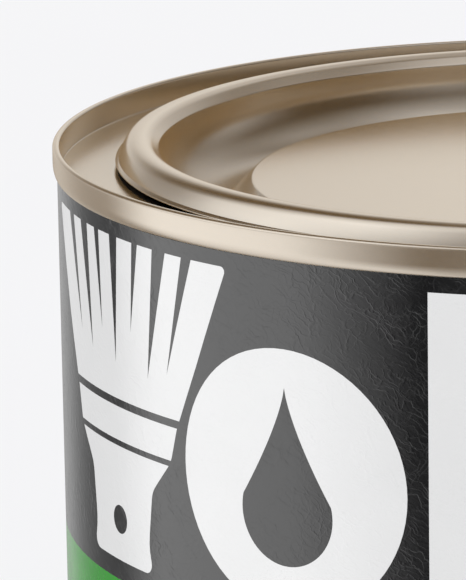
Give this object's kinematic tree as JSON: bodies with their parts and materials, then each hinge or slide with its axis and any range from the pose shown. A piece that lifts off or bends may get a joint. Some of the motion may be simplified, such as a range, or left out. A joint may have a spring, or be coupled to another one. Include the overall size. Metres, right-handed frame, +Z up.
{
  "type": "paint tin",
  "caption": "Round lever-lid paint tin with seamed ring and bottom, press-in lid that lifts out, and a wrap-around label.",
  "frame": {"origin": "centre of the circle on which the tin stands, under the bottom seam", "axes": "+Z up the tin's axis towards the lid; the label's front faces -Y, the side weld and the label's overlap are at +Y"},
  "size_m": [0.1104, 0.1104, 0.1304],
  "materials": {
    "gold_lacquered_tinplate": "satin gold lacquer on tinplate",
    "tinplate": "bare tinplate, satin",
    "label_film": "printed glossy film with fine creases",
    "sealing_compound": "matt rubber compound",
    "stripe_lacquer": "semi-matt protective stripe",
    "label_glue": "thin dried adhesive"
  },
  "bodies": {
    "can": {"body_shell": "tinplate", "bottom_end": "gold_lacquered_tinplate", "top_ring": "gold_lacquered_tinplate", "label": "label_film", "label_lap_adhesive": "label_glue", "weld_side_stripe": "stripe_lacquer", "top_seam_compound": "sealing_compound", "bottom_seam_compound": "sealing_compound"},
    "lid": {"lever_lid": "gold_lacquered_tinplate"}
  },
  "joints": [
    {"name": "lid_lift", "type": "slide", "parent": "can", "child": "lid", "axis": [0, 0, 1], "range_m": [0, 0.06]}
  ]
}
